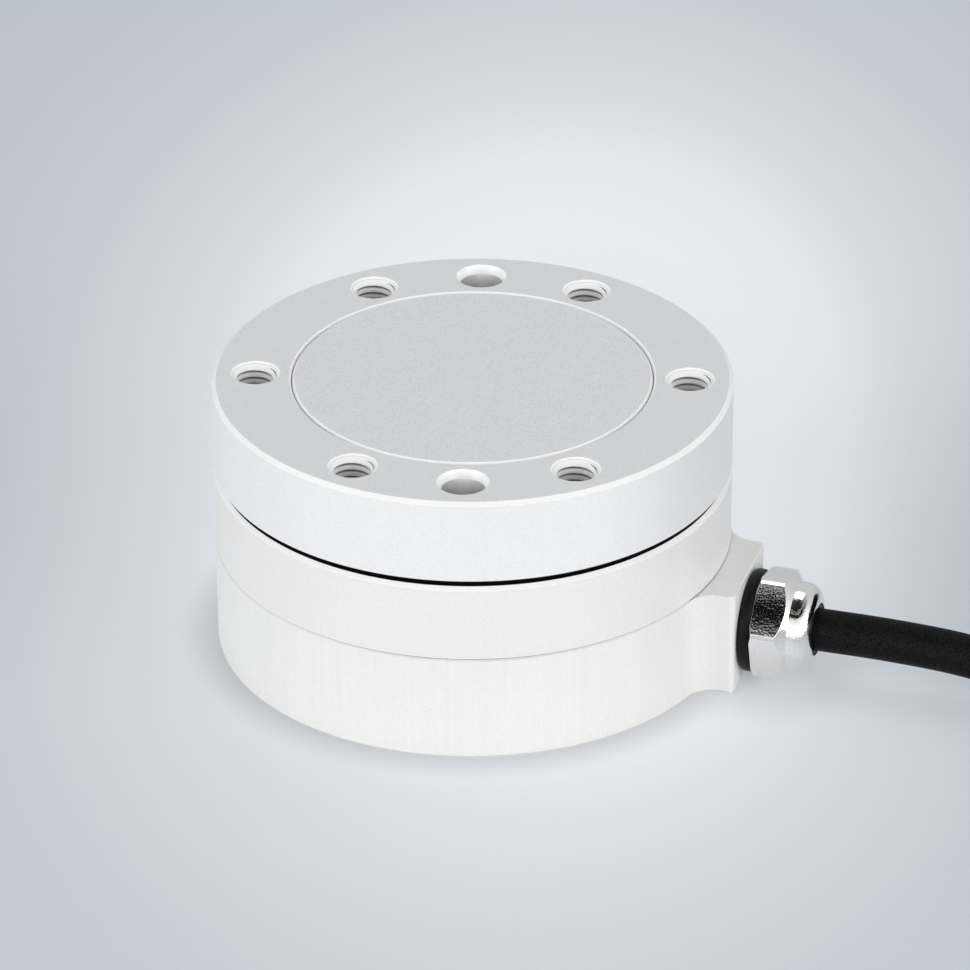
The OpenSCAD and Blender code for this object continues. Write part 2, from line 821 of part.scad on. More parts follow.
// Threaded stem that the dome nut screws onto
module gland_body() {
    r = gland_d / 2;
    low = outlet_face - gland_depth;
    color([0.75, 0.74, 0.72])
    along_outlet()
        rotate_extrude($fn = 64)
            polygon([[tail_bore_r, low], [r - 0.25, low], [r, low + 0.25],
                     [r, stem_end - 0.2], [r - 0.2, stem_end], [tail_bore_r, stem_end]]);
}

module gland_ring() {
    r = gland_ring_d / 2;
    low = outlet_face;
    round_r = 0.4 * gland_ring_t;
    color([0.06, 0.06, 0.07])
    along_outlet()
        rotate_extrude($fn = 96) {
            translate([gland_d / 2 + fit_clear, low])
                square([r - round_r - gland_d / 2 - fit_clear, gland_ring_t]);
            translate([r - round_r - 0.01, low + round_r])
                square([round_r + 0.01, gland_ring_t - 2 * round_r]);
            for (n = [low + round_r, low + gland_ring_t - round_r])
                translate([r - round_r, n])
                    circle(r = round_r, $fn = 32);
        }
}

// Profile of the dome nut's inside: thread, cone and mouth
module nut_bore() {
    r = gland_d / 2 + fit_clear;
    mouth = cable_d / 2 + 0.35;
    polygon([[0, nut_start - cut], [r, nut_start - cut], [r, stem_end + 0.3],
             [mouth, nut_end - 0.5], [mouth, nut_end + cut], [0, nut_end + cut]]);
}

// Profile of the dome: a short cylinder rounded into the mouth
module dome_profile() {
    c = nut_end - dome_round;
    translate([0, hex_end - 0.6])
        square([dome_r, c - hex_end + 0.6]);
    translate([0, c])
        square([dome_r - dome_round, dome_round]);
    intersection() {
        translate([dome_r - dome_round, c])
            circle(r = dome_round, $fn = 96);
        translate([dome_r - dome_round, c])
            square(dome_round);
    }
}

module gland_nut() {
    corner_r = nut_corners / 2;
    color([0.85, 0.85, 0.86])
    along_outlet()
        difference() {
            union() {
                intersection() {
                    translate([0, 0, nut_start])
                        rotate([0, 0, nut_turn])
                            cylinder(d = nut_flats / cos(30), h = nut_hex_len, $fn = 6);
                    rotate_extrude($fn = 96)
                        polygon([[0, nut_start], [corner_r - 0.25, nut_start],
                                 [corner_r, nut_start + 0.15], [corner_r, hex_end - 0.65],
                                 [dome_r, hex_end], [0, hex_end]]);
                }
                rotate_extrude($fn = 96)
                    dome_profile();
            }
            rotate_extrude($fn = 96)
                nut_bore();
        }
}

// Rubber clamping sleeve between stem, nut and cable
module gland_insert() {
    r = gland_d / 2 - 0.08;
    in_r = cable_d / 2 + fit_clear;
    mouth = cable_d / 2 + 0.3;
    color([0.07, 0.07, 0.08])
    along_outlet()
        rotate_extrude($fn = 64)
            polygon([[in_r, stem_end], [r, stem_end], [r, stem_end + 0.25],
                     [mouth, nut_end - 0.55], [mouth, nut_end - 0.1], [in_r, nut_end - 0.1]]);
}

// ---------- cable, coil and connector ----------

module cable() {
    start = [nut_end, 0, gland_z];
    color([0.09, 0.09, 0.1])
    outlet_frame()
        route_tube(concat([start], cable_route), cable_d / 2);
}

module cable_end() {
    color([0.09, 0.09, 0.1])
    outlet_frame()
        route_tube(concat(end_route, [plug_at]), cable_d / 2);
}

module cable_coil() {
    color([0.1, 0.1, 0.11])
    outlet_frame()
        translate([coil_at[0], coil_at[1], coil_lift])
            rotate_extrude()
                translate([coil_r - coil_w / 2, 0])
                    square([coil_w, coil_h]);
}

module coil_ties() {
    color([0.13, 0.13, 0.14])
    outlet_frame()
        translate([coil_at[0], coil_at[1], coil_lift])
            for (a = tie_angles)
                rotate([0, 0, a - tie_span / 2])
                    rotate_extrude(angle = tie_span)
                        difference() {
                            translate([coil_r - coil_w / 2 - tie_t, -tie_t])
                                square([coil_w + 2 * tie_t, coil_h + 2 * tie_t]);
                            translate([coil_r - coil_w / 2 - fit_clear, 0])
                                square([coil_w + 2 * fit_clear, coil_h]);
                        }
}

module plug_boot() {
    tip_r = cable_d / 2 + 0.6;
    root_r = plug_shell_d / 2 - 0.5;
    color([0.07, 0.07, 0.08])
    along_plug()
        rotate_extrude($fn = 64)
            polygon([[0, 0], [tip_r - 0.2, 0], [tip_r, 0.3], [tip_r, 1],
                     [root_r, boot_end - 2], [root_r, boot_end], [0, boot_end]]);
}

module plug_shell() {
    r = plug_shell_d / 2;
    sleeve_r = plug_sleeve_d / 2;
    color([0.72, 0.72, 0.74])
    along_plug()
        rotate_extrude($fn = 64)
            polygon([[0, boot_end], [r - 0.4, boot_end], [r, boot_end + 0.4],
                     [r, shell_end - 1], [r - 0.3, shell_end], [sleeve_r, shell_end],
                     [sleeve_r, sleeve_end - 0.3], [sleeve_r - 0.3, sleeve_end],
                     [sleeve_r - sleeve_wall, sleeve_end],
                     [sleeve_r - sleeve_wall, insert_start],
                     [0, insert_start]]);
}

module plug_ring() {
    r = plug_ring_d / 2;
    in_r = plug_sleeve_d / 2 + 2 * fit_clear;
    color([0.78, 0.78, 0.8])
    along_plug()
        rotate_extrude($fn = 96)
            polygon([[in_r, shell_end], [r - 0.7, shell_end], [r, shell_end + 0.7],
                     [r, ring_end - 0.4], [r - 0.4, ring_end], [in_r, ring_end]]);
}

module plug_insert() {
    color([0.12, 0.12, 0.13])
    along_plug()
        translate([0, 0, insert_start])
            cylinder(r = plug_sleeve_d / 2 - sleeve_wall - fit_clear,
                     h = insert_end - insert_start, $fn = 64);
}

module plug_contacts() {
    turns = [for (i = [0 : plug_pins - 1]) i * 360 / plug_pins];
    color([0.85, 0.68, 0.3])
    along_plug()
        translate([0, 0, insert_end])
            around(turns, 1.9)
                rotate_extrude($fn = 24)
                    polygon([[0, 0], [0.3, 0], [0.3, 2], [0.12, 2.3], [0, 2.3]]);
}

tool_flange();
cover_disc();
hub_screws();
sensing_body();
strain_gauges();
gauge_wires();
dust_seal();
base_housing();
housing_seal();
locating_pins();
body_screws();
circuit_board();
board_screws();
processor_chip();
converter_chips();
crystal_can();
chip_capacitors();
board_connector();
signal_wires();
cable_tail();
gland_body();
gland_ring();
gland_insert();
gland_nut();
cable();
cable_end();
cable_coil();
coil_ties();
plug_boot();
plug_shell();
plug_ring();
plug_insert();
plug_contacts();
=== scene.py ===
"""Miniature six-axis force torque sensor: finish, threads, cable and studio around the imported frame."""
import math

import bmesh
import bpy
import numpy as np
from mathutils import Matrix, Vector


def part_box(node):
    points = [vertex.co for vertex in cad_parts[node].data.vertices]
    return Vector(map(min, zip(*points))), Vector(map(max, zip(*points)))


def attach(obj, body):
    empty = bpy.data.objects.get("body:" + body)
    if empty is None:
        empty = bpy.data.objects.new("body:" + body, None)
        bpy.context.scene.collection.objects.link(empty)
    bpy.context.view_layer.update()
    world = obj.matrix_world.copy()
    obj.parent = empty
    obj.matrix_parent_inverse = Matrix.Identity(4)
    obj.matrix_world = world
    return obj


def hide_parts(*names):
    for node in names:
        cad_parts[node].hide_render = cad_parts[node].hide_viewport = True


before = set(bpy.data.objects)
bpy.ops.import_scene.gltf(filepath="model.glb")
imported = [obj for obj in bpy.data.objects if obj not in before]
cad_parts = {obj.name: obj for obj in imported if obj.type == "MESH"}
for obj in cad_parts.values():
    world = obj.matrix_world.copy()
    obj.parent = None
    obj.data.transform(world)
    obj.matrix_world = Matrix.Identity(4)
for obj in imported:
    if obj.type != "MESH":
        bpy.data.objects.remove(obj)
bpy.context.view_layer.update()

MM = 0.001
TURN = 2 * math.pi

# ---------- driving sizes, in millimetres ----------

# Turned body: outer radius, the heights of its joints, and the chamfer on its rims
BODY_R = 18.0
SEAM_Z = 7.75
GAP_Z = 13.35
FLANGE_Z = 13.8
TOP_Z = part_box("tool_flange")[1].z / MM
RIM_CHAMFER = 0.3

# Cover disc and its recess, the chamfer that both have, and the chamfer's width in this scene
DISC_R = 12.45
RECESS_R = 12.5
DISC_CHAMFER = 0.28
EDGE_W = 0.16

# Holes of one mounting side: tap drill and thread radius, how deep a thread is cut and how far
# outside the face its cutter starts, and the bright mouths of tapped and dowel holes, a cut finish
# that is partly a painted highlight
PATTERN_R = 15.0
TAPS = 6
TAP_R = 1.25
THREAD_R = 1.5
THREAD_PITCH = 0.5
THREAD_DEPTH = 4.3
THREAD_LEAD = 0.4
MOUTH_R = 1.72
DOWEL_MOUTH_R = 1.8

# Cable outlet: angle, axis height, the nut's end and the rounding of its edges
OUTLET_ANGLE = math.radians(-15)
GLAND_Z = 3.85
NUT_END = 24.95
NUT_EDGE = 0.02

# Cable and its stored coil, which lies a little off the floor; neighbouring turns don't quite touch
CABLE_D = 3.0
TURN_GAP = 0.02
COIL_AT = (59.0, 21.5)
COIL_R = 17.0
COIL_COLS = 4
COIL_ROWS = 4
COIL_LIFT = 0.6

# Degrees round the coil: where it starts and is left, the length of one shift from turn to turn,
# where the first shift ends, counted from the start, and the step from point to point
COIL_START = -90.0
COIL_LEAVE = -78.0
SHIFT_SPAN = 110.0
FIRST_SHIFT_END = 310.0
COIL_STEP = 3.0

# Straps: degrees round the coil, room for one layer, the cloth's share of it, gap to the turns,
# width, and the lap and the climb on to it as shares of one turn
TIE_ANGLES = (60, 186)
TIE_T = 0.6
TIE_CLOTH = 0.62
TIE_GAP = 0.02
TIE_W = 3.5
TIE_LAP = 0.13
TIE_CLIMB = 0.03

# Connector: boot with its rows of slots, shell, and knurled ring
PLUG_AT = (88.0, 29.5, 5.0)
BOOT_LEN = 12.0
BOOT_ROWS = 7
SLOT_FIRST = 1.8
SLOT_PITCH = 1.15
SLOT_W = 0.26
SLOT_DEPTH = 0.55
SHELL_LEN = 9.0
RING_LEN = 10.0
KNURLS = 36
KNURL_DEPTH = 0.28

# The cable's route in the outlet's frame: along the outlet, sideways, height; the lead ends a
# little short of the coil's first point
LEAD = [(NUT_END, 0, GLAND_Z), (30, 0, 3.85), (35, 0, 3.6), (40, 0, 2.85), (46, 0, 2.15),
        (52, 0, 2.1)]
TAIL = [(69.2, 1.4, 11), (75.8, 3.5, 10.4), (80.8, 7, 9.2), (84.8, 12, 7.5), (87.2, 18, 5.9),
        (88, 24, 5), PLUG_AT]
LEAD_SHORT = 0.8


def outlet_to_frame(points):
    """Points (along, sideways, height) in mm turned by the outlet's angle, in metres."""
    p = np.asarray(points, float)
    c, s = math.cos(OUTLET_ANGLE), math.sin(OUTLET_ANGLE)
    return np.stack([c * p[:, 0] - s * p[:, 1], s * p[:, 0] + c * p[:, 1], p[:, 2]], 1) * MM


def new_object(name, data):
    """Object with this data, linked to the scene."""
    made = bpy.data.objects.new(name, data)
    bpy.context.scene.collection.objects.link(made)
    return made


def cad(name):
    """The object of a CAD node."""
    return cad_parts[name]


# ---------- camera ----------

CAMERA_LENS = 230.9
CAMERA_AT = (0, -0.37798, 0.22255)
CAMERA_SWING = math.radians(2.6)
CAMERA_DOWN = 0.5103
CAMERA_TRIM = (-0.0019, 0.0005, -0.0063)


def set_camera():
    """Long lens some 440 mm away, swung a little round the sensor and looking 29 degrees down.

    The trim turns it slightly about its own Y, X and Z axes."""
    data = bpy.data.cameras.new("camera")
    data.sensor_width = 36
    data.lens = CAMERA_LENS
    data.clip_start = 0.01
    data.clip_end = 20
    camera = new_object("camera", data)
    swing = Matrix.Rotation(CAMERA_SWING, 4, "Z")
    down = Matrix.Rotation(math.pi / 2 - CAMERA_DOWN, 4, "X")
    pan, tilt, roll = CAMERA_TRIM
    trim = (Matrix.Rotation(pan, 4, "Y") @ Matrix.Rotation(tilt, 4, "X")
            @ Matrix.Rotation(roll, 4, "Z"))
    place = swing @ Vector(CAMERA_AT)
    camera.matrix_world = Matrix.Translation(place) @ swing @ down @ trim
    bpy.context.scene.camera = camera


set_camera()


# ---------- meshes from arrays ----------

def finish_mesh(mesh, smooth_angle):
    """Smooth shading with edges kept sharp above an angle in degrees."""
    mesh.shade_smooth()
    mesh.set_sharp_from_angle(angle=math.radians(smooth_angle))


def new_piece(name, points, faces, smooth_angle=30):
    """Mesh object from an array of points in metres and a list of faces; sharp above an angle."""
    mesh = bpy.data.meshes.new(name)
    mesh.from_pydata(np.asarray(points).tolist(), [], [list(f) for f in faces])
    mesh.validate()
    finish_mesh(mesh, smooth_angle)
    return new_object(name, mesh)


def outward(piece):
    """Turns a closed piece's faces outwards."""
    work = bmesh.new()
    work.from_mesh(piece.data)
    bmesh.ops.recalc_face_normals(work, faces=work.faces)
    work.to_mesh(piece.data)
    work.free()


def around(sides):
    """Equal angles once round, from 0."""
    return np.arange(sides) * TURN / sides


def grid_faces(rows, cols):
    """Quads of a grid of rows by cols points whose last column joins the first."""
    i, j = np.meshgrid(np.arange(rows - 1), np.arange(cols), indexing="ij")
    k = (j + 1) % cols
    return np.stack([i * cols + j, i * cols + k, (i + 1) * cols + k, (i + 1) * cols + j],
                    -1).reshape(-1, 4).tolist()


def capped_faces(rows, sides):
    """Faces of a tube of rows by sides points, with a flat cap on each end."""
    last = (rows - 1) * sides
    return grid_faces(rows, sides) + [list(range(sides))[::-1], list(range(last, last + sides))]


def run_length(points):
    """Length along a route at each of its points."""
    return np.concatenate([[0], np.cumsum(np.linalg.norm(np.diff(points, axis=0), axis=1))])


def unit(vectors):
    """Rows scaled to length 1."""
    return vectors / np.linalg.norm(vectors, axis=1, keepdims=True)


def smooth_route(points, per_span):
    """Curve through the points: each span is a cubic whose ends point along their neighbours' chord."""
    p = np.asarray(points, float)
    p = np.vstack([2 * p[0] - p[1], p, 2 * p[-1] - p[-2]])
    t = (np.arange(per_span) / per_span)[None, :, None]
    a, b, c, d = (q[:, None, :] for q in (p[:-3], p[1:-2], p[2:-1], p[3:]))
    curve = 0.5 * (2 * b + (c - a) * t + (2 * a - 5 * b + 4 * c - d) * t ** 2
                   + (3 * b - a - 3 * c + d) * t ** 3)
    return np.vstack([curve.reshape(-1, 3), p[-2]])


def tube(points, radius, sides):
    """Round tube along points: each ring lies in the plane of the route's side and its own up."""
    p = np.asarray(points)
    ahead = unit(np.gradient(p, axis=0))
    side = unit(np.cross([0.0, 0.0, 1.0], ahead))
    up = np.cross(ahead, side)
    a = around(sides)[:, None]
    ring = side[:, None] * np.cos(a) + up[:, None] * np.sin(a)
    return (p[:, None] + radius * ring).reshape(-1, 3)


def closed_tube(name, points, radius, sides):
    """Tube with flat end caps and a UV map: u along the route in metres, v once around."""
    faces = capped_faces(len(points), sides)
    piece = new_piece(name, tube(points, radius, sides), faces, 50)
    layer = piece.data.uv_layers.new(name="along")
    index = np.zeros(len(piece.data.loops), np.int32)
    piece.data.loops.foreach_get("vertex_index", index)
    u = run_length(points)[index // sides]
    v = (index % sides) / sides
    layer.data.foreach_set("uv", np.stack([u, v], 1).astype(np.float32).ravel())
    return piece


# ---------- cable ----------

def ease(x):
    """Half a cosine wave from 0 to 1."""
    return 0.5 - 0.5 * np.cos(math.pi * np.clip(x, 0, 1))


def coil_shifts():
    """The coil's shifts: the degree each starts at, and its step in columns and in layers.

    A layer has a shift for each column but one, a turn apart. The shift up to the next layer starts
    one shift's length early, and so does the first one after it, so that a rising turn finds its
    place free. Each layer is filled in the other direction."""
    shifts = []
    at, way = COIL_START + FIRST_SHIFT_END - SHIFT_SPAN, -1
    for layer in range(COIL_ROWS):
        for _ in range(COIL_COLS - 1):
            shifts.append((at, way, 0))
            at += 360
        if layer < COIL_ROWS - 1:
            shifts.append((at - SHIFT_SPAN, 0, 1))
            at += 360 - 2 * SHIFT_SPAN
        way = -way
    return np.array(shifts)


def coil_route():
    """Turns of the stored coil, from the outer bottom turn to the outer top one.

    The angle grows steadily. At each shift the cable eases sideways by one cable width to the next
    column, or up by one to the next layer."""
    at, ways, climbs = coil_shifts().T
    turns = math.ceil((at[-1] + SHIFT_SPAN - COIL_LEAVE) / 360)
    angle = np.arange(COIL_START, COIL_LEAVE + 360 * turns, COIL_STEP)
    step = ease((angle[:, None] - at) / SHIFT_SPAN)
    column = COIL_COLS - 1 + step @ ways
    layer = step @ climbs
    r = COIL_R + (column - (COIL_COLS - 1) / 2) * CABLE_D
    z = COIL_LIFT + (layer + 0.5) * CABLE_D
    a = np.radians(angle)
    return np.stack([COIL_AT[0] + r * np.cos(a), COIL_AT[1] + r * np.sin(a), z], 1)


def make_cable():
    """One cable from the gland through the coil to the connector; also its route and length.

    The lead is drawn on to a point inside the coil, so that it meets the coil along the coil's own
    way, and is then cut back to just before it. The tail likewise starts from inside the coil."""
    coil = coil_route()
    inside = 8
    lead = smooth_route(LEAD + [coil[0], coil[inside]], 14)
    lead = lead[lead[:, 0] < coil[0][0] - LEAD_SHORT]
    per_span = 10
    tail = smooth_route([coil[-1 - inside], coil[-1]] + TAIL, per_span)[per_span + 1:]
    route = outlet_to_frame(np.vstack([lead, coil, tail]))
    cable = closed_tube("cable_run", route, (CABLE_D - TURN_GAP) / 2 * MM, 20)
    return cable, route, run_length(route)[-1]


cable, cable_route, cable_length = make_cable()
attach(cable, "root")
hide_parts("cable", "cable_end", "cable_coil")


# ---------- connector and ties ----------

def along_plug(points):
    """Points (across, up, along the connector) in mm, from its thin end, in the frame in metres."""
    p = np.asarray(points, float)
    laid = np.stack([PLUG_AT[0] + p[:, 0], PLUG_AT[1] + p[:, 2], PLUG_AT[2] + p[:, 1]], 1)
    return outlet_to_frame(laid)


def round_points(height, radius):
    """Points (r cos a, r sin a, z) for a radius at each height (rows) and angle (columns)."""
    a = around(radius.shape[1])
    z = np.broadcast_to(height[:, None], radius.shape)
    return np.stack([radius * np.cos(a), radius * np.sin(a), z], -1).reshape(-1, 3)


def ribbed_boot():
    """Rubber boot: a cone with rows of slots, each row set a quarter turn from its neighbours.

    The radius follows the cone from corner to corner; a slot takes off its depth times a narrow
    bell along the boot and a wide wave with two flat crests round it. Flat caps close both ends."""
    corners = [0, 0.3, 1, BOOT_LEN - 2, BOOT_LEN]
    along = np.unique(np.concatenate([np.linspace(0, BOOT_LEN, 121), corners]))
    cone = np.interp(along, corners, [1.9, 2.1, 2.1, 3.7, 3.7])
    a = around(96)
    depth = np.zeros((len(along), len(a)))
    for row in range(BOOT_ROWS):
        middle = SLOT_FIRST + row * SLOT_PITCH
        bell = np.clip(1.25 - np.abs(along - middle) / SLOT_W, 0, 1)
        wave = np.clip(np.cos(2 * a + math.pi * (row % 2)) * 3 + 0.6, 0, 1)
        depth += SLOT_DEPTH * bell[:, None] * wave
    points = along_plug(round_points(along, cone[:, None] - depth))
    faces = [face[::-1] for face in capped_faces(len(along), len(a))]
    return new_piece("plug_boot_ribbed", points, faces, 40)


def knurled_ring():
    """Coupling ring: a turned collar whose middle band has straight grooves round it.

    The outer radius is the collar's profile less a depth times the grooves' rounded saw wave; the
    skin goes on over the end faces and back along the bore."""
    start = BOOT_LEN + SHELL_LEN
    along = np.array([0, 0, 0.35, 0.7, 1.2, 1.5, 1.8, 4.5, 7.2, 7.5, 7.8, 9.0, 9.1, 9.3, 9.4,
                      9.6, 10.0, 10.0]) / 10 * RING_LEN + start
    outer = np.array([3.65, 4.3, 4.65, 5, 5, 5, 4.95, 4.95, 4.95, 5, 5, 5, 4.75, 4.75, 5, 5, 4.6,
                      3.65])
    band = np.array([0, 0, 0, 0, 0, 0.2, 1, 1, 1, 0.2, 0, 0, 0, 0, 0, 0, 0, 0])
    sides = 8 * KNURLS
    groove = np.abs(np.sin(KNURLS / 2 * around(sides))) ** 0.7
    radius = outer[:, None] - KNURL_DEPTH * band[:, None] * (1 - groove)
    last = (len(along) - 1) * sides
    bore = [[last + i, last + (i + 1) % sides, (i + 1) % sides, i] for i in range(sides)]
    ring = new_piece("plug_ring_knurled", along_plug(round_points(along, radius)),
                     grid_faces(len(along), sides) + bore, 35)
    outward(ring)
    return ring


def flattened(wave, power):
    """A wave between -1 and 1 whose size is raised to a power and whose sign is kept."""
    return np.sign(wave) * np.abs(wave) ** power


def strap(name, angle):
    """Cloth strap drawn tight round the coil's section, its end lapped over its start.

    For each direction the farthest turn is found; the strap's point is that turn's centre plus its
    radius and the strap's lift in that direction, with straight runs from turn to turn. Over the
    lap the strap climbs by its thickness. Its own section is an oval across that path, flattened
    by raising its sine and cosine to powers below 1."""
    turns = coil_route()[int((angle - COIL_START) / COIL_STEP)::int(360 / COIL_STEP)]
    centres = np.stack([np.hypot(turns[:, 0] - COIL_AT[0], turns[:, 1] - COIL_AT[1]) - COIL_R,
                        turns[:, 2]], 1)
    a = np.linspace(0, TURN, 1441)
    way = np.stack([np.cos(a), np.sin(a)], 1)
    hull = centres[np.argmax(way @ centres.T, axis=1)] + CABLE_D / 2 * way
    length = run_length(hull)
    once = length[-1]
    run = np.linspace(0, once * (1 + TIE_LAP), 260)
    at = run % once
    out = unit(np.stack([np.interp(at, length, column) for column in way.T], 1))
    climb = np.clip((run / once - 1) / TIE_CLIMB + 0.5, 0, 1)
    cloth = TIE_CLOTH * TIE_T
    lift = TIE_T / 2 + TIE_GAP + climb * climb * (3 - 2 * climb) * cloth
    path = np.stack([np.interp(at, length, column) for column in hull.T], 1) + lift[:, None] * out
    b = around(16)
    thick = cloth / 2 * flattened(np.sin(b), 0.6)
    width = TIE_W / 2 * flattened(np.cos(b), 0.35)
    r = COIL_R + path[:, :1] + thick * out[:, :1]
    z = path[:, 1:] + thick * out[:, 1:]
    c, s = math.cos(math.radians(angle)), math.sin(math.radians(angle))
    points = np.stack([COIL_AT[0] + r * c - width * s, COIL_AT[1] + r * s + width * c, z], -1)
    piece = new_piece(name, outlet_to_frame(points.reshape(-1, 3)),
                      capped_faces(len(run), len(b)), 50)
    outward(piece)
    return piece


def stand_in(piece, node):
    """Lets a piece ride on the sensor in place of a CAD node, which it hides."""
    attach(piece, "root")
    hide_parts(node)


boot = ribbed_boot()
stand_in(boot, "plug_boot")
coupling = knurled_ring()
stand_in(coupling, "plug_ring")
straps = [strap(f"coil_tie_{k + 1}", angle) for k, angle in enumerate(TIE_ANGLES)]
for piece in straps:
    stand_in(piece, "coil_ties")


# ---------- shader helpers ----------

def add(tree, kind, feeds=None, **choices):
    """Adds a shader node: choices are its own settings, feeds give its inputs by name or number."""
    made = tree.nodes.new("ShaderNode" + kind)
    for key, value in choices.items():
        setattr(made, key, value)
    for key, value in (feeds or {}).items():
        if isinstance(value, bpy.types.NodeSocket):
            tree.links.new(value, made.inputs[key])
        else:
            made.inputs[key].default_value = value
    return made


def maths(tree, operation, *values):
    """Result of a Math node fed with the values in turn, as a socket."""
    return add(tree, "Math", dict(enumerate(values)), operation=operation).outputs[0]


def measure(tree, operation, *vectors):
    """A length, distance or dot product of vectors, as a socket."""
    return add(tree, "VectorMath", dict(enumerate(vectors)), operation=operation).outputs["Value"]


def scaled(tree, vector, factor):
    """A vector or colour times a factor, as a socket."""
    return add(tree, "VectorMath", {0: vector, "Scale": factor}, operation="SCALE").outputs[0]


def spread(tree, value, low, high, to_low=0.0, to_high=1.0, curve="LINEAR"):
    """A value's place between two limits, carried over to two others, as a socket."""
    return add(tree, "MapRange", {"Value": value, "From Min": low, "From Max": high,
                                  "To Min": to_low, "To Max": to_high},
               interpolation_type=curve).outputs[0]


def blend(tree, mask, low, high):
    """From one colour to another by a mask, as a socket."""
    return add(tree, "Mix", {0: mask, 6: low, 7: high}, data_type="RGBA").outputs[2]


def flat(tree, x, y):
    """The vector (x, y, 0), as a socket."""
    return add(tree, "CombineXYZ", {"X": x, "Y": y}).outputs[0]


def object_place(tree):
    """Object coordinates, as a socket."""
    return add(tree, "TexCoord").outputs["Object"]


def noise(tree, vector, scale, detail, roughness=0.5):
    """Noise between 0 and 1, as a socket."""
    return add(tree, "TexNoise", {"Vector": vector, "Scale": scale, "Detail": detail,
                                  "Roughness": roughness}).outputs["Fac"]


def about_one(tree, value, amount):
    """1 + (value - 0.5) times amount, as a socket."""
    return maths(tree, "MULTIPLY_ADD", maths(tree, "SUBTRACT", value, 0.5), amount, 1.0)


def largest(tree, masks):
    """The largest of some masks at each point, as a socket."""
    top = masks[0]
    for mask in masks[1:]:
        top = maths(tree, "MAXIMUM", top, mask)
    return top


def product(tree, masks):
    """Some masks multiplied together, as a socket."""
    result = masks[0]
    for mask in masks[1:]:
        result = maths(tree, "MULTIPLY", result, mask)
    return result


def new_group(name, inputs, outputs):
    """Shader node group with number inputs and typed outputs; gives its tree, input and output nodes."""
    tree = bpy.data.node_groups.new(name, "ShaderNodeTree")
    for label, value in inputs.items():
        tree.interface.new_socket(label, in_out="INPUT",
                                  socket_type="NodeSocketFloat").default_value = value
    for label, kind in outputs.items():
        tree.interface.new_socket(label, in_out="OUTPUT", socket_type="NodeSocket" + kind)
    return tree, tree.nodes.new("NodeGroupInput"), tree.nodes.new("NodeGroupOutput")


def new_material(name, *pieces):
    """Material with a Principled shader, given to each piece."""
    material = bpy.data.materials.new(name)
    material.use_nodes = True
    for piece in pieces:
        piece.data.materials.clear()
        piece.data.materials.append(material)
    return material.node_tree, material.node_tree.nodes["Principled BSDF"]


def fill_ramp(tree, value, stops):
    """Colour ramp over a value, from (place, colour) pairs, as a socket."""
    ramp = add(tree, "ValToRGB", {"Fac": value})
    stop_list = ramp.color_ramp.elements
    while len(stop_list) < len(stops):
        stop_list.new(0.5)
    for stop, (at, colour) in zip(stop_list, stops):
        stop.position = at
        stop.color = (*colour, 1)
    return ramp.outputs["Color"]


# ---------- studio ----------

# Floor, in metres: a painted pool of light, its tones along a distance from the middle of an oval,
# and painted shadows round the sensor's foot and under its gland, as foot, nearest and farthest
# distance, and least tone
FLOOR_COLOUR = (0.80, 0.80, 0.80)
FLOOR_MIDDLE = (-0.0045, -0.014, 0)
FLOOR_OVAL = (1, 0.488, 1)
FLOOR_REACH = 0.06
FLOOR_LIGHT_POOL = [(0.0, (1.04, 1.08, 1.12)), (0.28, (1.04, 1.09, 1.14)), (0.37, (0.98, 1.03, 1.09)),
               (0.45, (0.80, 0.86, 0.92)), (0.55, (0.67, 0.73, 0.81)), (0.67, (0.53, 0.60, 0.69)),
               (0.83, (0.46, 0.54, 0.64)), (1.0, (0.41, 0.49, 0.59))]
FLOOR_PAINTED_SHADOWS = [((0, 0, 0), 0.0175, 0.0212, 0.58),
                (tuple(outlet_to_frame([(21.5, 0, 0)])[0]), 0.002, 0.0085, 0.72)]

# Light tent: level by height, before the object and behind it
TENT_FRONT = [(0.0, (1.0, 1.0, 1.0)), (0.50, (1.0, 1.0, 1.0)), (0.70, (0.75, 0.75, 0.75)),
              (0.745, (0.006, 0.006, 0.006)), (0.868, (0.006, 0.006, 0.006)),
              (0.872, (1.3, 1.3, 1.3)), (0.879, (1.3, 1.3, 1.3)), (0.883, (0.006, 0.006, 0.006)),
              (1.0, (0.006, 0.006, 0.006))]
TENT_BACK = [(0.0, (0.50, 0.51, 0.52)), (0.50, (0.55, 0.57, 0.59)), (0.80, (0.5, 0.51, 0.52)),
             (1.0, (0.04, 0.04, 0.04))]
TENT_LEVEL = 1.1


def area_lamp(name, place, aim, size, power):
    """Rectangular soft lamp at a place, turned to its aim, both in metres."""
    data = bpy.data.lights.new(name, "AREA")
    data.shape = "RECTANGLE"
    data.size, data.size_y = size
    data.energy = power
    way = Vector(aim) - Vector(place)
    new_object(name, data).matrix_world = (Matrix.Translation(place)
                                           @ way.to_track_quat("-Z", "Y").to_matrix().to_4x4())


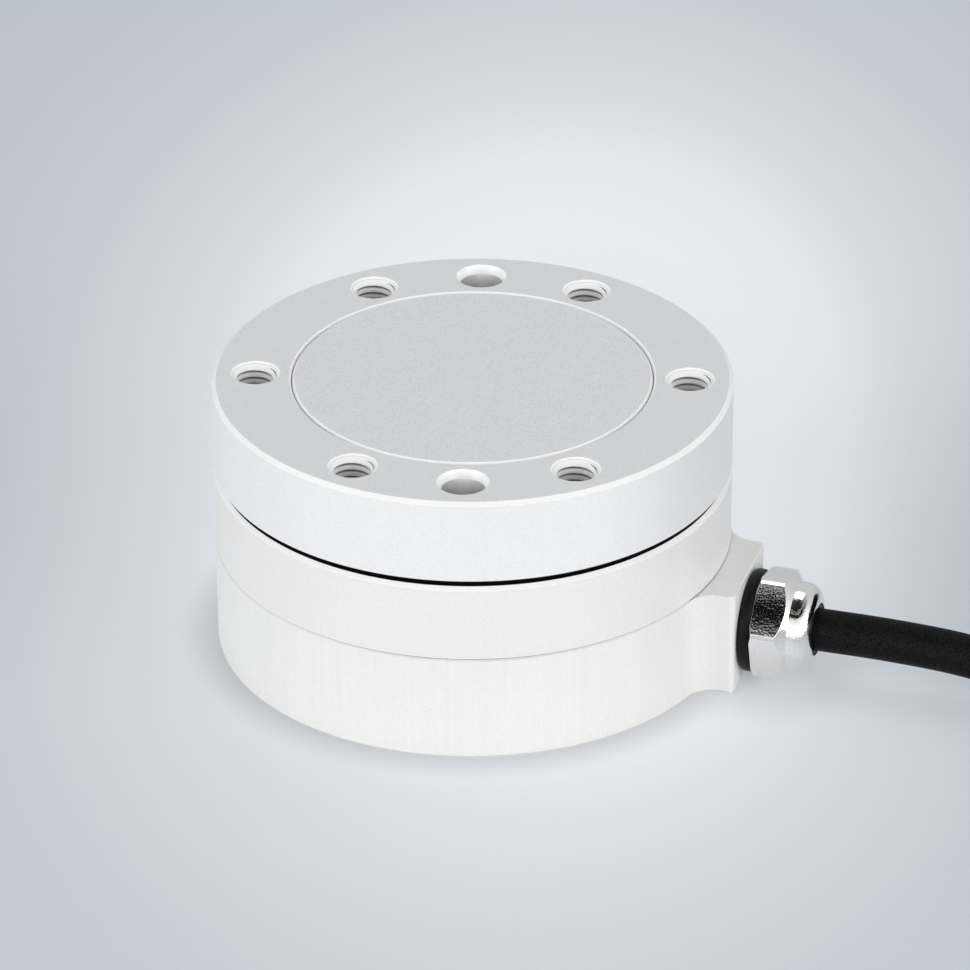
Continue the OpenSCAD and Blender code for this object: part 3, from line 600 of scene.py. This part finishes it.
def make_floor():
    """Pale round floor; seen straight, mirrored or through glass, half of it is its own soft tone.

    The tone is a painted pool of light, falling from a middle point outwards in ovals, and painted
    shadows darken it again close to the sensor and under its gland."""
    rings = np.array([0.0, 0.03, 0.06, 0.1, 0.2, 0.5, 1.5, 6.0])
    radius = np.repeat(rings[:, None], 96, axis=1)
    floor = new_piece("floor", round_points(0 * rings, radius), grid_faces(*radius.shape))
    tree, shader = new_material("floor_paper", floor)
    shader.inputs["Base Color"].default_value = (*FLOOR_COLOUR, 1)
    shader.inputs["Roughness"].default_value = 0.9
    shader.inputs["Specular IOR Level"].default_value = 0.0
    place = object_place(tree)
    oval = add(tree, "Mapping", {"Vector": place, "Location": FLOOR_MIDDLE, "Scale": FLOOR_OVAL})
    reach = spread(tree, measure(tree, "LENGTH", oval.outputs[0]), 0.0, FLOOR_REACH)
    # Painted pool of light: bright round the middle, falling off outwards
    tone = fill_ramp(tree, reach, FLOOR_LIGHT_POOL)
    # Painted shadows: the tone is darkened round the sensor's foot and under its gland
    for foot, near, far, least in FLOOR_PAINTED_SHADOWS:
        out = measure(tree, "DISTANCE", place, foot)
        tone = scaled(tree, tone, spread(tree, out, near, far, least, 1.0, "SMOOTHSTEP"))
    glow = add(tree, "Emission", {"Color": tone})
    ray = add(tree, "LightPath").outputs
    seen = largest(tree, [ray["Is Camera Ray"], ray["Is Glossy Ray"], ray["Is Transmission Ray"]])
    mix = add(tree, "MixShader", {0: maths(tree, "MULTIPLY", seen, 0.5), 1: shader.outputs[0],
                                  2: glow.outputs[0]})
    tree.links.new(mix.outputs[0], tree.nodes["Material Output"].inputs["Surface"])


def make_world():
    """Light tent: a level for each height, one ramp before the object and one behind it."""
    world = bpy.data.worlds.new("studio")
    bpy.context.scene.world = world
    world.use_nodes = True
    tree = world.node_tree
    way = add(tree, "SeparateXYZ", {0: add(tree, "TexCoord").outputs["Generated"]}).outputs
    behind, before = (fill_ramp(tree, way["Z"], stops) for stops in (TENT_BACK, TENT_FRONT))
    front = spread(tree, way["Y"], 0.5, -0.4, curve="SMOOTHSTEP")
    back = tree.nodes["Background"]
    tree.links.new(blend(tree, front, behind, before), back.inputs["Color"])
    back.inputs["Strength"].default_value = TENT_LEVEL


bpy.context.scene.view_settings.view_transform = "Standard"
make_floor()
make_world()
area_lamp("left", (-0.70, -0.50, 0.24), (0, 0, 0.01), (0.6, 0.4), 2.85)
area_lamp("right", (0.70, -0.50, 0.24), (0, 0, 0.01), (0.6, 0.4), 2.8)
area_lamp("overhead", (0.1, 0.35, 0.85), (0, 0, 0), (0.5, 0.35), 0.8)


# ---------- pieces made from CAD nodes ----------

def solid_copy(node, name):
    """Copy of a CAD node with its loose triangles joined."""
    mesh = cad(node).data.copy()
    mesh.name = name
    work = bmesh.new()
    work.from_mesh(mesh)
    bmesh.ops.remove_doubles(work, verts=work.verts, dist=1e-6)
    work.to_mesh(mesh)
    work.free()
    mesh.materials.clear()
    if mesh.has_custom_normals:
        mesh.attributes.remove(mesh.attributes["custom_normal"])
    return new_object(name, mesh)


def thread_groove(centre, low, high):
    """Closed ribbon along a right-hand helix: a V that reaches the thread's outer radius.

    Radius and height of the four corners are carried round the axis while the height rises by one
    pitch each turn. The V's flanks are 30 degrees off level, and it starts inside the tapped bore."""
    steps = 40
    turns = (high - low) / THREAD_PITCH
    a = np.linspace(0, TURN * turns, int(steps * turns) + 1)[:, None]
    crest, slope = THREAD_PITCH / 16, math.tan(math.radians(30))
    inner_r = TAP_R - 0.1
    half = crest + (THREAD_R - inner_r) * slope
    r, rise = np.array([(inner_r, -half), (THREAD_R, -crest), (THREAD_R, crest),
                        (inner_r, half)]).T
    z = low + rise + THREAD_PITCH * a / TURN
    points = np.stack([centre[0] + r * np.cos(a), centre[1] + r * np.sin(a), z], -1)
    return points.reshape(-1, 3), capped_faces(len(a), len(r))


def cut_threads(piece, low, high):
    """Cuts the tapped holes' threads of one mounting side into a piece."""
    points, faces, base = [], [], 0
    for a in around(TAPS):
        p, f = thread_groove((PATTERN_R * math.cos(a), PATTERN_R * math.sin(a)), low, high)
        points.append(p)
        faces += [[base + i for i in face] for face in f]
        base += len(p)
    cutter = new_piece("cutter", np.vstack(points) * MM, faces)
    outward(cutter)
    cut = piece.modifiers.new("threads", "BOOLEAN")
    cut.operation = "DIFFERENCE"
    cut.solver = "EXACT"
    cut.object = cutter
    bpy.context.view_layer.update()
    graph = bpy.context.evaluated_depsgraph_get()
    mesh = bpy.data.meshes.new_from_object(piece.evaluated_get(graph))
    piece.modifiers.clear()
    piece.data = mesh
    finish_mesh(mesh, 19)
    bpy.data.objects.remove(cutter)


def narrow_edge(piece, face_r, wall_r, width):
    """Leaves a chamfer of the tool face this wide: its upper edge moves along the face, its lower up.

    The chamfer runs from one radius in the face to the other down the wall, at 45 degrees."""
    mesh = piece.data
    p = np.empty(len(mesh.vertices) * 3)
    mesh.vertices.foreach_get("co", p)
    p = p.reshape(-1, 3) / MM
    r = np.hypot(p[:, 0], p[:, 1])
    depth = abs(face_r - wall_r)
    near = 0.01
    upper = (np.abs(r - face_r) < near) & (np.abs(p[:, 2] - TOP_Z) < near)
    lower = (np.abs(r - wall_r) < near) & (np.abs(p[:, 2] - TOP_Z + depth) < near)
    p[upper, :2] *= ((wall_r + math.copysign(width, face_r - wall_r)) / r[upper])[:, None]
    p[lower, 2] = TOP_Z - width
    mesh.vertices.foreach_set("co", (p * MM).ravel())


def bevelled_nut():
    """The gland nut with its sharp edges rounded as plating leaves them."""
    nut = solid_copy("gland_nut", "gland_nut_plated")
    edge = nut.modifiers.new("edges", "BEVEL")
    edge.width = NUT_EDGE * MM
    edge.harden_normals = True
    edge.segments = 2
    edge.limit_method = "ANGLE"
    edge.angle_limit = math.radians(20)
    finish_mesh(nut.data, 20)
    return nut


flange = solid_copy("tool_flange", "tool_flange_threaded")
narrow_edge(flange, RECESS_R + DISC_CHAMFER, RECESS_R, EDGE_W)
cut_threads(flange, TOP_Z - THREAD_DEPTH, TOP_Z + THREAD_LEAD)
stand_in(flange, "tool_flange")

base = solid_copy("base_housing", "base_housing_threaded")
cut_threads(base, -THREAD_LEAD, THREAD_DEPTH)
stand_in(base, "base_housing")

disc = solid_copy("cover_disc", "cover_disc_turned")
narrow_edge(disc, DISC_R - DISC_CHAMFER, DISC_R, EDGE_W)
finish_mesh(disc.data, 20)
stand_in(disc, "cover_disc")

nut = bevelled_nut()
stand_in(nut, "gland_nut")


# ---------- patterns ----------

BUMP_DEPTH = 0.04 * MM

# Painted light in the holes, in mm: how far inside the thread's radius the painted shade of its bottom
# starts and is full; the sum of depth and distance past which a point is below the countersink; how far
# outside the thread the painted shade line where it starts runs, and half that line's width; the depth
# of a dowel hole's bright mouth, below which its wall is in painted shade; and how far from the hole's
# middle the painted light streak down that wall starts to fade and ends
PAINTED_ROOT_FADE = (0.13, 0.03)
BELOW_SINK = 1.75
PAINTED_START_LINE = (0.06, 0.02)
DOWEL_MOUTH = 0.58
PAINTED_STREAK = (0.2, 1.4)


def make_grain():
    """Fine grain of a blasted or moulded surface: a shade about 1 and a rough normal."""
    tree, given, out = new_group("fine_grain", {"Scale": 9000, "Tone": 0.08, "Relief": 0.2},
                                 {"Shade": "Float", "Normal": "Vector"})
    grain = noise(tree, object_place(tree), given.outputs["Scale"], 2.0, 0.65)
    tree.links.new(about_one(tree, grain, given.outputs["Tone"]), out.inputs["Shade"])
    bump = add(tree, "Bump", {"Strength": given.outputs["Relief"], "Distance": BUMP_DEPTH,
                              "Height": grain})
    tree.links.new(bump.outputs[0], out.inputs["Normal"])
    return tree


def make_lines():
    """Fine upright tool lines on a wall: noise drawn out along the height, as a shade about 1."""
    tree, given, out = new_group("tool_lines", {"Amount": 0.05}, {"Shade": "Float"})
    drawn = add(tree, "Mapping", {"Vector": object_place(tree), "Scale": (4200, 4200, 90)})
    line = noise(tree, drawn.outputs[0], 1.0, 3.0, 0.6)
    tree.links.new(about_one(tree, line, given.outputs["Amount"]), out.inputs["Shade"])
    return tree


def make_band():
    """Mask of what lies between two distances from the sensor's axis and between two heights."""
    tree, given, out = new_group("turned_band", {"Inner": 0.0, "Outer": 1.0, "Low": -1.0,
                                                 "High": 1.0}, {"Mask": "Float"})
    part = add(tree, "SeparateXYZ", {0: object_place(tree)}).outputs
    far = measure(tree, "LENGTH", flat(tree, part["X"], part["Y"]))
    tests = ((far, "Inner", "GREATER_THAN"), (far, "Outer", "LESS_THAN"),
             (part["Z"], "Low", "GREATER_THAN"), (part["Z"], "High", "LESS_THAN"))
    sides = [maths(tree, test, value, given.outputs[limit]) for value, limit, test in tests]
    tree.links.new(product(tree, sides), out.inputs["Mask"])
    return tree


def make_hole_light_and_shade():
    """Masks of the drilled holes: six on the pitch circle, and the two dowel holes on the Y axis.

    The angle is folded into one sixth of a turn, so that one distance serves all six. The mask is the
    holes out to their mouths, painted near-white: a cut finish that is partly a painted highlight.
    Painted shade is the bottom of a thread, where the distance nears the thread's outer radius below
    the countersink, a faint line where the thread starts, and a dowel hole's wall, with a painted light
    streak along its middle and darker to its sides."""
    tree, given, out = new_group("hole_highlight_and_shade", {"Face": 0.0}, {"Mask": "Float", "Painted Shade": "Float"})
    part = add(tree, "SeparateXYZ", {0: object_place(tree)}).outputs
    x, y = part["X"], part["Y"]
    far = measure(tree, "LENGTH", flat(tree, x, y))
    sixths = maths(tree, "MULTIPLY", maths(tree, "ARCTAN2", y, x), TAPS / TURN)
    rest = maths(tree, "SUBTRACT", sixths, maths(tree, "ROUND", sixths))
    fold = maths(tree, "MULTIPLY", rest, TURN / TAPS)
    turned = flat(tree, maths(tree, "COSINE", fold), maths(tree, "SINE", fold))
    tap = measure(tree, "DISTANCE", scaled(tree, turned, far), (PATTERN_R * MM, 0, 0))
    mirrored = flat(tree, x, maths(tree, "ABSOLUTE", y))
    dowel = measure(tree, "DISTANCE", mirrored, (0, PATTERN_R * MM, 0))
    # The holes' mouths painted near-white: a cut finish, partly a painted highlight
    in_tap = maths(tree, "LESS_THAN", tap, MOUTH_R * MM)
    in_dowel = maths(tree, "LESS_THAN", dowel, DOWEL_MOUTH_R * MM)
    tree.links.new(maths(tree, "MAXIMUM", in_tap, in_dowel), out.inputs["Mask"])

    depth = maths(tree, "ABSOLUTE", maths(tree, "SUBTRACT", part["Z"], given.outputs["Face"]))
    # Painted shade: the thread's bottom, a faint line where it starts, and a dowel hole's wall, lighter
    # along its middle as a painted light streak
    pale, full = (THREAD_R - inward for inward in PAINTED_ROOT_FADE)
    root = spread(tree, tap, pale * MM, full * MM, 0.0, 0.85)
    below = maths(tree, "GREATER_THAN", maths(tree, "ADD", depth, tap), BELOW_SINK * MM)
    threads = product(tree, [root, below, in_tap])
    outside, half = PAINTED_START_LINE
    start = maths(tree, "COMPARE", tap, (THREAD_R + outside) * MM, half * MM)
    line = maths(tree, "MULTIPLY", start, 0.3)
    bore = maths(tree, "GREATER_THAN", depth, DOWEL_MOUTH * MM)
    fade, end = (side * MM for side in PAINTED_STREAK)
    streak = spread(tree, maths(tree, "ABSOLUTE", x), fade, end, 0.0, 0.55)
    painted_bore_shade = product(tree, [bore, in_dowel, streak])
    tree.links.new(largest(tree, [threads, line, painted_bore_shade]), out.inputs["Painted Shade"])
    return tree


GRAIN = make_grain()
LINES = make_lines()
BAND = make_band()
HOLE_LIGHT_AND_SHADE = make_hole_light_and_shade()


# ---------- finishes ----------

BLASTED_ROUGHNESS, BLASTED_METAL = 0.5, 0.3
# Bright bands: cut after blasting and partly a painted highlight, near-white; painted shade: near-black
CUT_AND_HIGHLIGHT_COLOUR, CUT_ROUGHNESS = (0.97, 0.97, 0.97, 1), 0.3
SHADE_COLOUR = (0.008, 0.008, 0.008, 1)

# Height that a nut's flat loses, in metres for each square metre from the outlet's axis
NUT_CROWN = 15.0


def grained(tree, shader, colour, scale, tone, relief):
    """Feeds colour times the grain's shade, and the grain's normal."""
    grain = add(tree, "Group", {"Scale": scale, "Tone": tone, "Relief": relief}, node_tree=GRAIN)
    tree.links.new(scaled(tree, colour, grain.outputs["Shade"]), shader.inputs["Base Color"])
    tree.links.new(grain.outputs["Normal"], shader.inputs["Normal"])


def finish(name, colour, roughness, pieces, scale=6000, tone=0.1, relief=0.1, **levels):
    """Grained finish; levels are the shader's other inputs, with _ for a space."""
    tree, shader = new_material(name, *pieces)
    shader.inputs["Roughness"].default_value = roughness
    for key, value in levels.items():
        shader.inputs[key.replace("_", " ")].default_value = value
    grained(tree, shader, colour, scale, tone, relief)
    return tree, shader


def band_masks(tree, bands):
    """Mask of each (inner, outer, low, high, strength) band, in mm, times its strength."""
    masks = []
    for *limits, strength in bands:
        feeds = dict(zip(("Inner", "Outer", "Low", "High"), (limit * MM for limit in limits)))
        band = add(tree, "Group", feeds, node_tree=BAND)
        masks.append(maths(tree, "MULTIPLY", band.outputs[0], strength))
    return masks


def aluminium(name, colour, lines, pieces, tone=0.25, relief=0.6, cut=(), painted_shade=(), face=None):
    """Fine blasted and clear anodised aluminium, with upright tool lines on its walls.

    Bright bands are a finish cut after blasting and also a painted highlight, and painted shade
    bands are near-black; both are (inner, outer, low, high) in mm and the band's strength. Face is
    the height of the face that the holes start at; their mouths join the bright bands and their
    painted shade joins the shade bands."""
    tree, shader = finish(name, colour, BLASTED_ROUGHNESS, pieces, 9000, tone, relief,
                          Metallic=BLASTED_METAL)
    marks = add(tree, "Group", {"Amount": lines}, node_tree=LINES)
    grainy = shader.inputs["Base Color"].links[0].from_socket
    top = scaled(tree, grainy, marks.outputs["Shade"])
    bright, shade = band_masks(tree, cut), band_masks(tree, painted_shade)
    if face is not None:
        holes = add(tree, "Group", {"Face": face * MM}, node_tree=HOLE_LIGHT_AND_SHADE)
        # The holes' mouths join the bright bands, and their painted shade joins the shade bands
        bright.append(holes.outputs["Mask"])
        shade.append(maths(tree, "MULTIPLY", holes.outputs["Painted Shade"], 0.9))
    if bright:
        mask = largest(tree, bright)
        # Near-white over the bright bands: a cut finish and partly a painted highlight
        top = blend(tree, mask, top, CUT_AND_HIGHLIGHT_COLOUR)
        tree.links.new(spread(tree, mask, 0.0, 1.0, BLASTED_ROUGHNESS, CUT_ROUGHNESS),
                       shader.inputs["Roughness"])
        tree.links.new(spread(tree, mask, 0.0, 1.0, BLASTED_METAL, 0.0), shader.inputs["Metallic"])
    if shade:
        # Painted shade: near-black over the shade bands
        top = blend(tree, largest(tree, shade), top, SHADE_COLOUR)
    tree.links.new(top, shader.inputs["Base Color"])


def plated(name, colour, piece):
    """Mirror-like plating over a machined part: crowned flats, long shallow waves and fine pits.

    A flat's crown falls with the square of the distance from the outlet's axis."""
    tree, shader = new_material(name, piece)
    shader.inputs["Metallic"].default_value = 1.0
    shader.inputs["Roughness"].default_value = 0.03
    place = object_place(tree)
    pit = noise(tree, place, 7000, 2.0, 0.7)
    turned = {"Vector": place, "Rotation": (0, 0, -OUTLET_ANGLE)}
    drawn = add(tree, "Mapping", {**turned, "Scale": (500, 3600, 3600)})
    wave = noise(tree, drawn.outputs[0], 1.0, 1.0)
    rough = add(tree, "Bump", {"Strength": 0.2, "Distance": BUMP_DEPTH,
                               "Height": maths(tree, "MULTIPLY_ADD", pit, 1.1, wave)})
    laid = add(tree, "Mapping", {**turned, "Location": (0, 0, -GLAND_Z * MM)})
    across = add(tree, "VectorMath", {0: laid.outputs[0], 1: (0, 1, 1)}, operation="MULTIPLY")
    square = measure(tree, "DOT_PRODUCT", across.outputs[0], across.outputs[0])
    bump = add(tree, "Bump", {"Strength": 1.0, "Distance": 1.0,
                              "Height": maths(tree, "MULTIPLY", square, -NUT_CROWN),
                              "Normal": rough.outputs[0]})
    tree.links.new(bump.outputs[0], shader.inputs["Normal"])
    tree.links.new(scaled(tree, colour, about_one(tree, pit, 0.25)), shader.inputs["Base Color"])


# Bands reach over an edge or stop short of it by a little
OVER = 0.01
RIM_IN, RIM_OUT = BODY_R - RIM_CHAMFER - OVER, BODY_R + 0.1
EDGE_TOP = TOP_Z - OVER / 10
# Flange: rim and groove chamfers cut bright and partly painted as highlights; painted shade on its
# underside in the gap over the body
aluminium("flange_finish", (0.855, 0.855, 0.86), 0.02, [flange],
          cut=[(RIM_IN, RIM_OUT, TOP_Z - RIM_CHAMFER + OVER, TOP_Z - OVER / 2, 0.8),
               (RECESS_R - 0.1, RECESS_R + EDGE_W, TOP_Z - EDGE_W, EDGE_TOP, 1.0)],
          painted_shade=[(0, RIM_OUT, FLANGE_Z - 0.1, FLANGE_Z + 0.09, 1.0)], face=TOP_Z)
# Disc: its groove chamfer cut bright and partly painted as a highlight
aluminium("disc_finish", (0.855, 0.855, 0.86), 0.0, [disc], 0.5,
          cut=[(DISC_R - 0.05 - EDGE_W, RECESS_R, TOP_Z - EDGE_W, EDGE_TOP, 1.0)])
# Body: rim chamfer cut bright and partly painted as a highlight; painted shade on its top inside the gap
# under the flange, and in the seam's groove to the base
aluminium("body_finish", (0.845, 0.835, 0.828), 0.04, [cad("sensing_body")], 0.2, 0.4,
          cut=[(RIM_IN, RIM_OUT, GAP_Z - RIM_CHAMFER + OVER, GAP_Z - OVER, 1.0)],
          painted_shade=[(0, RIM_IN, GAP_Z - 0.4, GAP_Z + 0.1, 1.0),
                (RIM_IN, RIM_OUT, SEAM_Z - 0.1, SEAM_Z + 0.09, 0.85)])
# Base: the holes in its underside carry the same painted highlight and shade
aluminium("base_finish", (0.855, 0.85, 0.84), 0.08, [base], 0.2, 0.4, face=0)

plated("nut_finish", (0.93, 0.905, 0.885), nut)
finish("brass_finish", (0.66, 0.64, 0.60), 0.22, [cad("gland_body")], Metallic=1.0)
finish("nickel_finish", (0.66, 0.66, 0.68), 0.25, [coupling, cad("plug_shell")], Metallic=1.0)
finish("screw_finish", (0.045, 0.045, 0.05), 0.4, [cad("hub_screws"), cad("body_screws")],
       tone=0.3, Metallic=0.8)
finish("steel_finish", (0.56, 0.56, 0.57), 0.3,
       [cad("locating_pins"), cad("board_screws"), cad("crystal_can")], Metallic=1.0)
finish("gold_finish", (0.80, 0.58, 0.25), 0.25, [cad("plug_contacts")], Metallic=1.0)
finish("jacket_finish", (0.0065, 0.0065, 0.007), 0.5, [cable, cad("cable_tail")],
       9000, 6.0, 0.5, Specular_IOR_Level=0.07)
finish("rubber_finish", (0.006, 0.006, 0.0065), 0.4,
       [cad("gland_ring"), cad("gland_insert"), cad("dust_seal"), cad("housing_seal"), boot],
       9000, 3.0, 0.4, Specular_IOR_Level=0.12)
finish("tie_finish", (0.018, 0.018, 0.02), 0.85, straps, 3500, 1.0, 0.8)
finish("gauge_finish", (0.72, 0.40, 0.10), 0.35, [cad("strain_gauges")])
finish("enamel_finish", (0.45, 0.12, 0.04), 0.3, [cad("gauge_wires")])
finish("insulation_finish", (0.42, 0.035, 0.025), 0.4, [cad("signal_wires")])
finish("board_finish", (0.012, 0.10, 0.045), 0.35, [cad("circuit_board")], 900, 0.5)
finish("chip_finish", (0.02, 0.02, 0.022), 0.5, [cad("processor_chip"), cad("converter_chips")])
finish("ceramic_finish", (0.42, 0.29, 0.17), 0.45, [cad("chip_capacitors")])
finish("socket_finish", (0.82, 0.78, 0.66), 0.45, [cad("board_connector")])
finish("insert_finish", (0.02, 0.02, 0.022), 0.5, [cad("plug_insert")])
